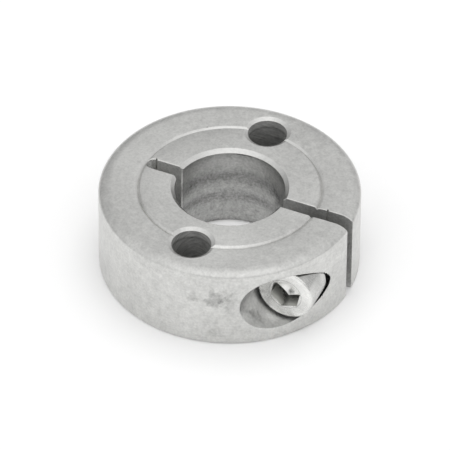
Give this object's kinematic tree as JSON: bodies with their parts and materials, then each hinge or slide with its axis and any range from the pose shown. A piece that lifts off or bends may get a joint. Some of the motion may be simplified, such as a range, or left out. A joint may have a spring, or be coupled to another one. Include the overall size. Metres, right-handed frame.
{
  "type": "shaft collar",
  "caption": "Stainless steel semi-split clamping shaft collar with two flange holes in its face and a socket head clamp screw in a side pocket.",
  "frame": {"origin": "centre of the bore at the bottom face", "axes": "+Z along the bore, +X out through the open slit, and the clamp screw's head faces -Y"},
  "size_m": [0.045, 0.045, 0.016],
  "materials": {
    "satin_stainless": "turned stainless steel, tumbled to a satin grey",
    "bright_stainless": "cold-headed stainless steel, bright with light scuffs"
  },
  "bodies": {
    "collar": {"collar_ring": "satin_stainless"},
    "clamp_screw": {"clamp_screw": "bright_stainless"}
  },
  "joints": [
    {"name": "clamp_screw_turn", "type": "hinge", "parent": "collar", "child": "clamp_screw", "pos_m": [0.0162, -0.00715, 0.008], "axis": [0, -1, 0], "range_deg": [-700, 2772]}
  ]
}
